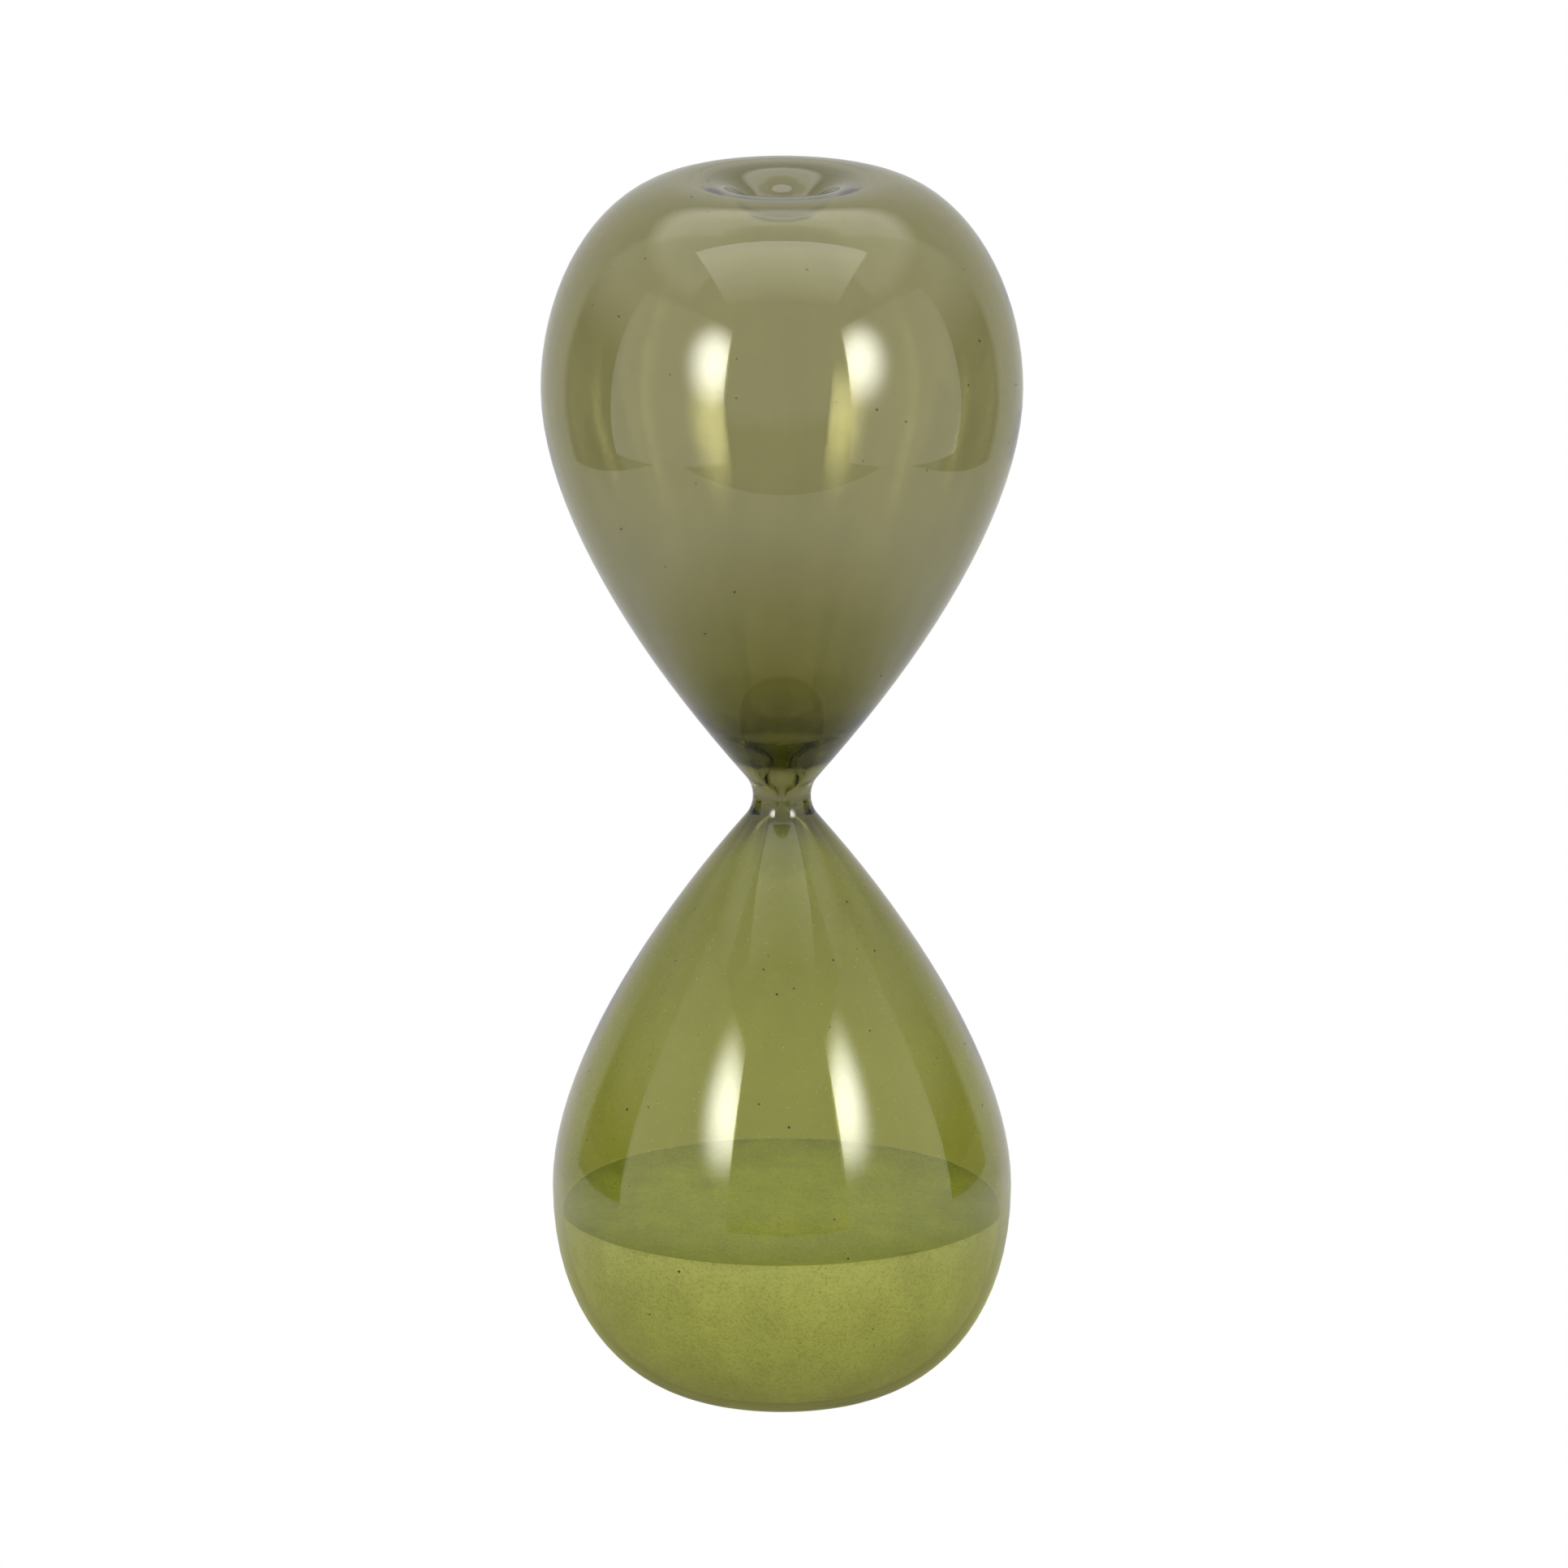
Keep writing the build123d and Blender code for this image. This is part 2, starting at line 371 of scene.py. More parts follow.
glassLook = {
    "outerSkin": "#A29D64",  # smoky olive flashed over clear glass
    "innerSkin": "#FAFAF6",
    "dustFilm": "#F4FF88",  # fine sand dust on the lower bulb's inner wall, above the sand
    "sandFilm": "#F6FFE1",  # where the sand lies against the wall
    "dustEnd": (4, 1),  # mm under the waist, where the dust thins out and where it ends
    "ior": 1.52,
    "body": "#808A80",  # what the thickness itself takes out of the light
    "bodyDensity": 26.0,
    "cloud": 9 * mm,
    "cloudDepth": 0.07,
    "cloudDrawn": 0.35,  # the clouds are drawn out along the axis, towards the neck
    "kickPaintedShade": 0.55,  # painted shade over the kicked-in hollows: the skin lets only this share through there
    "kickFade": 3.0,  # mm inside the rest ring
    "endShare": 0.05,  # how much of the height, from either end, the kicked-in part lies in
    # height in mm, how much light the skin lets through there and how much of its blue,
    # 1 on the widest parts; this is painted shade, darkest just round the neck, and painted light
    # where it goes above 1 low in the lower bulb
    "paintedShadeByHeight": [(50, 1.05, 1.0), (72, 1.2, 1.0), (88, 1.1, 1.0), (100, 0.98, 0.85),
                     (122, 0.84, 0.66), (133, 0.84, 0.6), (138, 0.66, 0.5), (141, 0.46, 0.42),
                     (143, 0.26, 0.25), (145.5, 0.36, 0.22), (148, 0.58, 0.6), (150, 0.75, 1.0),
                     (156.5, 0.75, 1.0), (158, 0.08, 1.0), (163, 0.08, 1.0), (167, 0.13, 0.5),
                     (172, 0.24, 0.30), (174.5, 0.38, 0.50), (185, 0.46, 0.68), (192, 0.59, 0.86),
                     (211, 0.84, 1.0), (232, 1.0, 1.0)],
}


def sodaLimeGlass():
    # blown soda-lime glass, fire-polished: clear and mirror-smooth, its colour in a thin outer skin
    material, tree = newMaterial("blown_olive_glass")
    coords = addNode(tree, "ShaderNodeTexCoord").outputs["Object"]
    outside = addNode(tree, "ShaderNodeAttribute", attribute_name="outside").outputs["Fac"]
    heightAt = addNode(tree, "ShaderNodeSeparateXYZ", {0: coords}).outputs["Z"]
    # the dust reaches to just under the waist
    thinsOut, ends = glassLook["dustEnd"]
    inLower = addNode(tree, "ShaderNodeMapRange", {
        "Value": heightAt, "From Min": (waistHeight - ends) * mm,
        "From Max": (waistHeight - thinsOut) * mm, "To Min": 0.0, "To Max": 1.0})
    overSand = addNode(tree, "ShaderNodeMapRange", {
        "Value": heightAt, "From Min": (sandLevel - 1) * mm, "From Max": (sandLevel + 1) * mm})
    film = addNode(tree, "ShaderNodeMix", {0: overSand, 6: linear(glassLook["sandFilm"]),
                   7: linear(glassLook["dustFilm"])}, data_type="RGBA").outputs[2]
    inner = addNode(tree, "ShaderNodeMix", {
        0: inLower, 6: linear(glassLook["innerSkin"]), 7: film}, data_type="RGBA").outputs[2]
    share = addNode(tree, "ShaderNodeMath", {0: heightAt, 1: height * mm}, operation="DIVIDE")
    # painted shade round the neck and painted light low in the lower bulb, by height, multiplied
    # into the outer skin's colour
    paintedShadeRamp = addNode(tree, "ShaderNodeValToRGB", {0: share})
    stops = paintedShadeRamp.color_ramp.elements
    steps = glassLook["paintedShadeByHeight"]
    while len(stops) < len(steps):
        stops.new(0.5)
    for stop, (level, strength, blue) in zip(stops, steps):
        stop.position = level / height
        stop.color = (strength, strength, strength * blue, 1)
    skin = addNode(tree, "ShaderNodeMix", {0: 1.0, 6: linear(glassLook["outerSkin"]), 7: paintedShadeRamp},
                   data_type="RGBA", blend_type="MULTIPLY").outputs[2]
    # it is faintly cloudy
    drawn = addNode(tree, "ShaderNodeMapping",
                    {"Vector": coords, "Scale": (1, 1, glassLook["cloudDrawn"])})
    clouds = addNode(tree, "ShaderNodeTexNoise", {
        "Vector": drawn, "Scale": 1 / glassLook["cloud"], "Detail": 4.0, "Roughness": 0.6})
    cloudy = addNode(tree, "ShaderNodeMapRange", {
        "Value": clouds, "From Min": 0.25, "From Max": 0.75,
        "To Min": 1 - glassLook["cloudDepth"], "To Max": 1 + glassLook["cloudDepth"]})
    skin = addNode(tree, "ShaderNodeMix", {0: 1.0, 6: skin, 7: cloudy}, data_type="RGBA",
                   blend_type="MULTIPLY").outputs[2]
    # painted shade over the kicked-in ends, which lie within the rest rings
    flatPlace = addNode(tree, "ShaderNodeVectorMath", {0: coords, 1: (1, 1, 0)},
                        operation="MULTIPLY")
    radius = addNode(tree, "ShaderNodeVectorMath", {0: flatPlace}, operation="LENGTH")
    hollowShade = addNode(tree, "ShaderNodeMapRange", {
        "Value": radius.outputs["Value"],
        "From Min": (glass["ringInner"] - glassLook["kickFade"]) * mm,
        "From Max": glass["ringInner"] * mm, "To Min": glassLook["kickPaintedShade"], "To Max": 1.0})
    fromMiddle = addNode(tree, "ShaderNodeMath", {0: share, 1: 0.5}, operation="SUBTRACT")
    fromMiddle = addNode(tree, "ShaderNodeMath", {0: fromMiddle}, operation="ABSOLUTE")
    nearEnd = addNode(tree, "ShaderNodeMath", {0: fromMiddle, 1: 0.5 - glassLook["endShare"]},
                      operation="GREATER_THAN")
    hollowShade = addNode(tree, "ShaderNodeMix", {0: nearEnd, 2: 1.0, 3: hollowShade}, data_type="FLOAT")
    skin = addNode(tree, "ShaderNodeMix", {0: 1.0, 6: skin, 7: hollowShade}, data_type="RGBA",
                   blend_type="MULTIPLY").outputs[2]
    colour = addNode(tree, "ShaderNodeMix", {0: outside, 6: inner, 7: skin},
                     data_type="RGBA").outputs[2]
    surface = addNode(tree, "ShaderNodeBsdfPrincipled", {
        "Base Color": colour, "Roughness": 0.0, "IOR": glassLook["ior"],
        "Transmission Weight": 1.0})
    body = addNode(tree, "ShaderNodeVolumeAbsorption", {
        "Color": linear(glassLook["body"]), "Density": glassLook["bodyDensity"]})
    addNode(tree, "ShaderNodeOutputMaterial", {"Surface": surface, "Volume": body})
    return material


sandLook = {
    "light": "#EEF1D2",
    "mid": "#E4E6C2",
    "dark": "#D2D4A8",
    "patch": 11 * mm,
    "patchShade": (0.88, 1.08),
    "top": "#CACE90",  # painted shade: the open top is made darker and yellower for how the light falls on it
    "grain": 0.45 * mm,  # real grains are about 0.2 mm; drawn twice as coarse so that they show
    "grainRelief": 0.4,
}


def quartzSand():
    # washed quartz sand: matt and pale, with darker and lighter grains
    material, tree = newMaterial("washed_quartz_sand")
    coords = addNode(tree, "ShaderNodeTexCoord").outputs["Object"]
    grains = addNode(tree, "ShaderNodeTexVoronoi",
                     {"Vector": coords, "Scale": 1 / sandLook["grain"]})
    shade = addNode(tree, "ShaderNodeSeparateColor", {0: grains.outputs["Color"]})
    ramp = addNode(tree, "ShaderNodeValToRGB", {0: shade})
    stops = ramp.color_ramp.elements
    stops[0].position, stops[0].color = 0.0, linear(sandLook["dark"])
    stops[1].position, stops[1].color = 1.0, linear(sandLook["light"])
    middle = stops.new(0.3)
    middle.color = linear(sandLook["mid"])
    # patches where finer or darker grains have gathered
    patches = addNode(tree, "ShaderNodeTexNoise", {
        "Vector": coords, "Scale": 1 / sandLook["patch"], "Detail": 3.0, "Roughness": 0.6})
    patchy = addNode(tree, "ShaderNodeMapRange", {
        "Value": patches, "From Min": 0.25, "From Max": 0.75,
        "To Min": sandLook["patchShade"][0], "To Max": sandLook["patchShade"][1]})
    colour = addNode(tree, "ShaderNodeMix", {0: 1.0, 6: ramp, 7: patchy}, data_type="RGBA",
                     blend_type="MULTIPLY").outputs[2]
    # painted shade: the open top faces up and is made darker for how the light falls on it
    facing = addNode(tree, "ShaderNodeNewGeometry").outputs["True Normal"]
    upward = addNode(tree, "ShaderNodeSeparateXYZ", {0: facing}).outputs["Z"]
    topShadeMask = addNode(tree, "ShaderNodeMapRange", {"Value": upward, "From Min": 0.2, "From Max": 0.7})
    colour = addNode(tree, "ShaderNodeMix", {0: topShadeMask, 6: colour, 7: linear(sandLook["top"])},
                     data_type="RGBA", blend_type="MULTIPLY").outputs[2]
    bump = addNode(tree, "ShaderNodeBump", {
        "Height": grains.outputs["Distance"], "Strength": sandLook["grainRelief"],
        "Distance": sandLook["grain"]}, invert=True)
    surface = addNode(tree, "ShaderNodeBsdfPrincipled", {
        "Base Color": colour, "Roughness": 0.95, "Normal": bump})
    addNode(tree, "ShaderNodeOutputMaterial", {"Surface": surface})
    return material


stoneLook = {"light": "#5A4A33", "dark": "#2A2118", "mottle": 0.3 * mm}


def batchStone():
    # unmelted batch: dull brown-black crumbs, rough where the melt has not wetted them
    material, tree = newMaterial("unmelted_batch")
    coords = addNode(tree, "ShaderNodeTexCoord").outputs["Object"]
    mottle = addNode(tree, "ShaderNodeTexNoise",
                     {"Vector": coords, "Scale": 1 / stoneLook["mottle"]})
    colour = addNode(tree, "ShaderNodeMix", {
        0: mottle, 6: linear(stoneLook["dark"]), 7: linear(stoneLook["light"])},
        data_type="RGBA").outputs[2]
    surface = addNode(tree, "ShaderNodeBsdfPrincipled", {"Base Color": colour, "Roughness": 0.8})
    addNode(tree, "ShaderNodeOutputMaterial", {"Surface": surface})
    return material


oliveGlass = sodaLimeGlass()
paleSand = quartzSand()
darkStone = batchStone()
print("materials ready")

outline = outlineCurve("envelope_outline", [fullOutline("outside"), fullOutline("inside")],
                       glass["outlineSteps"], oliveGlass)
envelope = meshFrom(outline, envelopeTree(), {
    "Turn steps": glass["turnSteps"],
    "Ripple": glass["ripple"], "Ripple length": glass["rippleLength"],
    "Seeds per square metre": glass["seedsPerM2"], "Seed size": glass["seedSize"],
    "Random seed": glass["randomSeed"], "Glass": oliveGlass}, "glass_envelope")
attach(envelope, "glass")
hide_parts("lower_bulb", "neck", "upper_bulb", "lower_end_seal", "upper_end_seal")


# stones: specks of unmelted batch that stayed in the wall

stones = {
    "perM2": 900.0,
    "depth": 1.0 * mm,
    "size": (0.30 * mm, 0.75 * mm),
    "turnSteps": 64,
    "randomSeed": 23,
}


def stonesTree():
    tree, start, end = newTree("batch_stones", {
        "Turn steps": "Int", "Stones per square metre": "Float", "Depth": "Float",
        "Smallest": "Float", "Largest": "Float", "Random seed": "Int", "Stone": "Material"})
    skin = addNode(tree, "GeometryNodeGroup", {
        "Geometry": start.outputs["Geometry"], "Turn steps": start.outputs["Turn steps"]},
        node_tree=spinOutline)
    scattered = addNode(tree, "GeometryNodeDistributePointsOnFaces",
                        {"Mesh": skin, "Density": start.outputs["Stones per square metre"],
                         "Seed": start.outputs["Random seed"]})
    # the skin faces the axis, so along its normal is into the wall
    inward = addNode(tree, "ShaderNodeVectorMath",
                     {0: scattered.outputs["Normal"], "Scale": start.outputs["Depth"]},
                     operation="SCALE")
    spots = addNode(tree, "GeometryNodeSetPosition", {"Geometry": scattered, "Offset": inward})
    size = addNode(tree, "FunctionNodeRandomValue",
                   {2: start.outputs["Smallest"], 3: start.outputs["Largest"], "Seed": 3},
                   data_type="FLOAT")
    stone = addNode(tree, "GeometryNodeMeshUVSphere", {"Segments": 8, "Rings": 6, "Radius": 0.5})
    placed = addNode(tree, "GeometryNodeInstanceOnPoints",
                     {"Points": spots, "Instance": stone, "Scale": size.outputs[1]})
    solid = addNode(tree, "GeometryNodeRealizeInstances", {"Geometry": placed})
    smooth = addNode(tree, "GeometryNodeSetShadeSmooth", {0: solid})
    finished = addNode(tree, "GeometryNodeSetMaterial",
                       {"Geometry": smooth, "Material": start.outputs["Stone"]})
    tree.links.new(finished.outputs[0], end.inputs["Geometry"])
    return tree


outline = outlineCurve("stones_outline", [fullOutline("outside")],
                       glass["outlineSteps"], darkStone)
batchStones = meshFrom(outline, stonesTree(), {
    "Turn steps": stones["turnSteps"], "Stones per square metre": stones["perM2"],
    "Depth": stones["depth"],
    "Smallest": stones["size"][0], "Largest": stones["size"][1],
    "Random seed": stones["randomSeed"], "Stone": darkStone}, "batch_stones")
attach(batchStones, "glass")


# the sand

sand = {
    "gap": sandBox[0].z / mm - glass["wall"],  # between the sand and the glass
    "outlineSteps": 26,
    "turnSteps": 180,
    "hump": 1.1 * mm,  # soft unevenness of the top
    "humpLength": 26 * mm,
    "roughness": 0.25 * mm,
    "roughnessLength": 2.2 * mm,
    "calmEdge": 6 * mm,  # how far in from the glass the unevenness reaches its full height
}


def bezierPoint(a, b, c, d, t):
    return a * (1 - t) ** 3 + 3 * b * t * (1 - t) ** 2 + 3 * c * t * t * (1 - t) + d * t ** 3


def sandOutline():
    # the inside of the lower bulb up to the sand's level, then over the mound to the axis
    inset = glass["wall"] + sand["gap"]
    knots = endInside(glass["lower"], inset)
    (foot, _, footAhead), (belly, bellyBack, _) = knots[-2:]
    a, d = Vector(foot), Vector(belly)
    b, c = a + Vector(footAhead), d + Vector(bellyBack)
    low, high = 0.0, 1.0
    for _ in range(40):  # where the wall's curve passes the sand's level
        t = (low + high) / 2
        if bezierPoint(a, b, c, d, t).y < sandLevel:
            low = t
        else:
            high = t
    # the part of that curve below the level, by halving its handles at t
    ab, bc, cd = a.lerp(b, t), b.lerp(c, t), c.lerp(d, t)
    abc, bcd = ab.lerp(bc, t), bc.lerp(cd, t)
    edge = abc.lerp(bcd, t)
    knots[-2] = (foot, knots[-2][1], tuple(ab - a))
    top = sandLevel + sandCrown
    knots[-1] = (tuple(edge), tuple(abc - edge), (-edge.x * 0.4, 0))
    knots.append(((0, top), (edge.x * 0.4, 0), (0, 0)))
    return knots


def sandTree():
    tree, start, end = newTree("settled_sand", {
        "Turn steps": "Int", "Hump": "Float", "Hump length": "Float", "Roughness": "Float",
        "Roughness length": "Float", "Edge radius": "Float", "Calm edge": "Float",
        "Sand": "Material"})
    skin = addNode(tree, "GeometryNodeGroup", {
        "Geometry": start.outputs["Geometry"], "Turn steps": start.outputs["Turn steps"]},
        node_tree=spinOutline)
    skin = addNode(tree, "GeometryNodeFlipFaces", {"Mesh": skin})
    place = addNode(tree, "GeometryNodeInputPosition")
    flatPlace = addNode(tree, "ShaderNodeVectorMath", {0: place, 1: (1, 1, 0)},
                        operation="MULTIPLY")
    radius = addNode(tree, "ShaderNodeVectorMath", {0: flatPlace}, operation="LENGTH")
    # full on the open top, nothing where the sand lies against the glass
    inwards = addNode(tree, "ShaderNodeMath",
                      {0: start.outputs["Edge radius"], 1: radius.outputs["Value"]},
                      operation="SUBTRACT")
    openness = addNode(tree, "ShaderNodeMapRange", {
        "Value": inwards, "From Min": 0.0, "From Max": start.outputs["Calm edge"]})
    upward = addNode(tree, "ShaderNodeSeparateXYZ", {0: addNode(tree, "GeometryNodeInputNormal")})
    isTop = addNode(tree, "ShaderNodeMath", {0: upward.outputs["Z"], 1: 0.3},
                    operation="GREATER_THAN")
    lift = None
    for name, detail in (("Hump", 2.0), ("Roughness", 3.0)):
        scale = addNode(tree, "ShaderNodeMath", {0: 1.0, 1: start.outputs[name + " length"]},
                        operation="DIVIDE")
        waves = addNode(tree, "ShaderNodeTexNoise",
                        {"Vector": flatPlace, "Scale": scale, "Detail": detail})
        centred = addNode(tree, "ShaderNodeMath", {0: waves.outputs["Fac"], 1: 2.0, 2: -1.0},
                          operation="MULTIPLY_ADD")
        layer = addNode(tree, "ShaderNodeMath", {0: centred, 1: start.outputs[name]},
                        operation="MULTIPLY")
        lift = layer if lift is None else addNode(tree, "ShaderNodeMath", {0: lift, 1: layer},
                                                  operation="ADD")
    lift = addNode(tree, "ShaderNodeMath", {0: lift, 1: openness}, operation="MULTIPLY")
    lift = addNode(tree, "ShaderNodeMath", {0: lift, 1: isTop}, operation="MULTIPLY")
    offset = addNode(tree, "ShaderNodeCombineXYZ", {"Z": lift})
    rough = addNode(tree, "GeometryNodeSetPosition", {"Geometry": skin, "Offset": offset})
    smooth = addNode(tree, "GeometryNodeSetShadeSmooth", {0: rough})
    solid = addNode(tree, "GeometryNodeRealizeInstances", {"Geometry": smooth})
    finished = addNode(tree, "GeometryNodeSetMaterial",
                       {"Geometry": solid, "Material": start.outputs["Sand"]})
    tree.links.new(finished.outputs[0], end.inputs["Geometry"])
    return tree


outline = outlineCurve("sand_outline", [sandOutline()], sand["outlineSteps"], paleSand)
settledSand = meshFrom(outline, sandTree(), {
    "Turn steps": sand["turnSteps"], "Hump": sand["hump"], "Hump length": sand["humpLength"],
    "Roughness": sand["roughness"], "Roughness length": sand["roughnessLength"],
    "Edge radius": sandBox[1].x, "Calm edge": sand["calmEdge"], "Sand": paleSand},
    "settled_sand")
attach(settledSand, "sand")
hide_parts("sand")


# grains that cling to the inner wall above the sand

clinging = {
    "perM2": (60000.0, 25000.0),  # lowest down and highest up
    "reach": (sandLevel + 10, waistHeight - 9),  # heights in mm, clear of the sand when it shifts
    "size": (0.16 * mm, 0.34 * mm),
    "turnSteps": 96,
    "gap": 0.16 * mm,  # between a grain's centre and the wall
    "randomSeed": 31,
}


def clingingTree():
    tree, start, end = newTree("clinging_grains", {
        "Turn steps": "Int", "Most per square metre": "Float", "Fewest per square metre": "Float",
        "Lowest": "Float", "Highest": "Float", "Gap": "Float", "Smallest": "Float",
        "Largest": "Float", "Random seed": "Int", "Sand": "Material"})
    skin = addNode(tree, "GeometryNodeGroup", {
        "Geometry": start.outputs["Geometry"], "Turn steps": start.outputs["Turn steps"]},
        node_tree=spinOutline)
    level = addNode(tree, "ShaderNodeSeparateXYZ",
                    {0: addNode(tree, "GeometryNodeInputPosition")})
    # none below the lowest, most just above it, and fewer and fewer up to the highest
    above = addNode(tree, "ShaderNodeMath", {0: level.outputs["Z"], 1: start.outputs["Lowest"]},
                    operation="GREATER_THAN")
    below = addNode(tree, "ShaderNodeMath", {0: level.outputs["Z"], 1: start.outputs["Highest"]},
                    operation="LESS_THAN")
    fewer = addNode(tree, "ShaderNodeMapRange", {
        "Value": level.outputs["Z"], "From Min": start.outputs["Lowest"],
        "From Max": start.outputs["Highest"], "To Min": start.outputs["Most per square metre"],
        "To Max": start.outputs["Fewest per square metre"]})
    within = addNode(tree, "ShaderNodeMath", {0: above, 1: below}, operation="MULTIPLY")
    density = addNode(tree, "ShaderNodeMath", {0: fewer, 1: within}, operation="MULTIPLY")
    scattered = addNode(tree, "GeometryNodeDistributePointsOnFaces",
                        {"Mesh": skin, "Density": density, "Seed": start.outputs["Random seed"]})
    # the skin faces the axis, so along its normal is off the wall
    inward = addNode(tree, "ShaderNodeVectorMath",
                     {0: scattered.outputs["Normal"], "Scale": start.outputs["Gap"]},
                     operation="SCALE")
    spots = addNode(tree, "GeometryNodeSetPosition", {"Geometry": scattered, "Offset": inward})
    size = addNode(tree, "FunctionNodeRandomValue",
                   {2: start.outputs["Smallest"], 3: start.outputs["Largest"], "Seed": 9},
                   data_type="FLOAT")
    turn = addNode(tree, "FunctionNodeRandomValue",
                   {0: (0, 0, 0), 1: (6.28, 6.28, 6.28), "Seed": 4}, data_type="FLOAT_VECTOR")
    grain = addNode(tree, "GeometryNodeMeshIcoSphere", {"Radius": 0.5, "Subdivisions": 1})
    placed = addNode(tree, "GeometryNodeInstanceOnPoints",
                     {"Points": spots, "Instance": grain, "Rotation": turn.outputs[0],
                      "Scale": size.outputs[1]})
    solid = addNode(tree, "GeometryNodeRealizeInstances", {"Geometry": placed})
    finished = addNode(tree, "GeometryNodeSetMaterial",
                       {"Geometry": solid, "Material": start.outputs["Sand"]})
    tree.links.new(finished.outputs[0], end.inputs["Geometry"])
    return tree


outline = outlineCurve("clinging_outline", [fullOutline("inside")],
                       glass["outlineSteps"], paleSand)
clingingGrains = meshFrom(outline, clingingTree(), {
    "Turn steps": clinging["turnSteps"], "Most per square metre": clinging["perM2"][0],
    "Fewest per square metre": clinging["perM2"][1], "Lowest": clinging["reach"][0] * mm,
    "Highest": clinging["reach"][1] * mm, "Gap": clinging["gap"],
    "Smallest": clinging["size"][0], "Largest": clinging["size"][1],
    "Random seed": clinging["randomSeed"], "Sand": paleSand}, "clinging_grains")
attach(clingingGrains, "glass")


# studio

camera = {
    "lens": 381.6,
    "sensor": 36,
    "distance": 4.0,
    "elevation": math.radians(15.4),
    "target": (0.0005, 0, 0.1507),
    "sight": 30,
}
cameraData = bpy.data.cameras.new("camera")
cameraData.lens = camera["lens"]
cameraData.sensor_width = camera["sensor"]
cameraData.clip_end = camera["sight"]
cameraObject = bpy.data.objects.new("camera", cameraData)
scene.collection.objects.link(cameraObject)
back = Vector((0, -math.cos(camera["elevation"]), math.sin(camera["elevation"])))
cameraObject.location = Vector(camera["target"]) + back * camera["distance"]
cameraObject.rotation_euler = (-back).to_track_quat("-Z", "Y").to_euler()
scene.camera = cameraObject

studio = {
    # the room's brightness on level sight, higher up, above that and under it: each list
    # goes round from the front to the back, as (angle from the front in degrees, brightness)
    "level": [(0, 1.1), (86, 0.2), (126, 0.65)],
    "raised": [(0, 1.1), (86, 1.0), (126, 0.65)],
    "high": [(0, 1.15), (60, 1.7), (120, 2.2)],
    "low": [(0, 0.6), (86, 0.2), (126, 0.65)],
    "zenith": 1.5,
    # elevations in degrees between which each gives way to the next
    "raisedFrom": (6, 26),
    "highFrom": (38, 46),
    "zenithFrom": (66, 72),
    "sandSideLight": 7.4,  # what reaches the sand from level sight and from straight above
    "sandTopLight": 0.2,
    "tableUnderSand": 1.1,
    "softboxes": [
        {"name": "left_softbox", "centre": (-0.724, -0.477, 0.36), "spot": (0.885, 0.69)},
        {"name": "right_softbox", "centre": (0.766, -0.407, 0.36), "spot": (0.115, 0.69)},
    ],
    "softboxSize": (1.0, 1.02),
    "softboxLight": 1.32,
    "spotSize": (0.34, 0.38),  # the lamp's hot spot, as shares of the softbox's size
    "spotLight": 15.0,
    "overhead": {"x": (-0.77, 0.77), "y": (-1.2, 0.0), "z": 1.5,
                 "light": (1.0, 3.8)},  # at its front edge and at its back edge
}


def studioWorld():
    world = bpy.data.worlds.new("white_studio")
    scene.world = world
    world.use_nodes = True
    tree = world.node_tree
    tree.nodes.clear()
    direction = addNode(tree, "ShaderNodeTexCoord").outputs["Generated"]
    apart = addNode(tree, "ShaderNodeSeparateXYZ", {0: direction})
    up = apart.outputs["Z"]
    across = addNode(tree, "ShaderNodeMath", {0: apart.outputs["X"]}, operation="ABSOLUTE")
    ahead = addNode(tree, "ShaderNodeMath", {0: apart.outputs["Y"], 1: -1.0}, operation="MULTIPLY")
    azimuth = addNode(tree, "ShaderNodeMath", {0: across, 1: ahead}, operation="ARCTAN2")
    softEdge = 0.04  # radians
    rings = {"zenith": studio["zenith"]}
    for name in ("level", "raised", "high", "low"):
        light = studio[name][0][1]
        for angle, brightness in studio[name][1:]:
            edge = math.radians(angle)
            step = addNode(tree, "ShaderNodeMapRange", {
                "Value": azimuth, "From Min": edge - softEdge, "From Max": edge + softEdge,
                "To Min": 0.0, "To Max": 1.0})
            light = addNode(tree, "ShaderNodeMix", {0: step, 2: light, 3: brightness},
                            data_type="FLOAT")
        rings[name] = light
    light = rings["level"]
    for name in ("raised", "high", "zenith"):
        start, end = [math.sin(math.radians(angle)) for angle in studio[name + "From"]]
        step = addNode(tree, "ShaderNodeMapRange",
                       {"Value": up, "From Min": start, "From Max": end})
        light = addNode(tree, "ShaderNodeMix", {0: step, 2: light, 3: rings[name]},
                        data_type="FLOAT")
    below = addNode(tree, "ShaderNodeMapRange", {"Value": up, "From Min": 0.0, "From Max": -0.15})
    light = addNode(tree, "ShaderNodeMix", {0: below, 2: light, 3: rings["low"]},
                    data_type="FLOAT")
    # the matt sand has its own, softer light
    path = addNode(tree, "ShaderNodeLightPath")
    onSand = addNode(tree, "ShaderNodeMath", {0: path.outputs["Diffuse Depth"], 1: 0.5},
                     operation="GREATER_THAN")
    sandLight = addNode(tree, "ShaderNodeMapRange", {
        "Value": up, "From Min": 0.1, "From Max": 0.6,
        "To Min": studio["sandSideLight"], "To Max": studio["sandTopLight"]})
    light = addNode(tree, "ShaderNodeMix", {0: onSand, 2: light, 3: sandLight}, data_type="FLOAT")
    light = addNode(tree, "ShaderNodeMix", {0: path.outputs["Is Camera Ray"], 2: light, 3: 1.0},
                    data_type="FLOAT")
    glow = addNode(tree, "ShaderNodeBackground", {"Color": (1, 1, 1, 1), "Strength": light})
    addNode(tree, "ShaderNodeOutputWorld", {"Surface": glow})


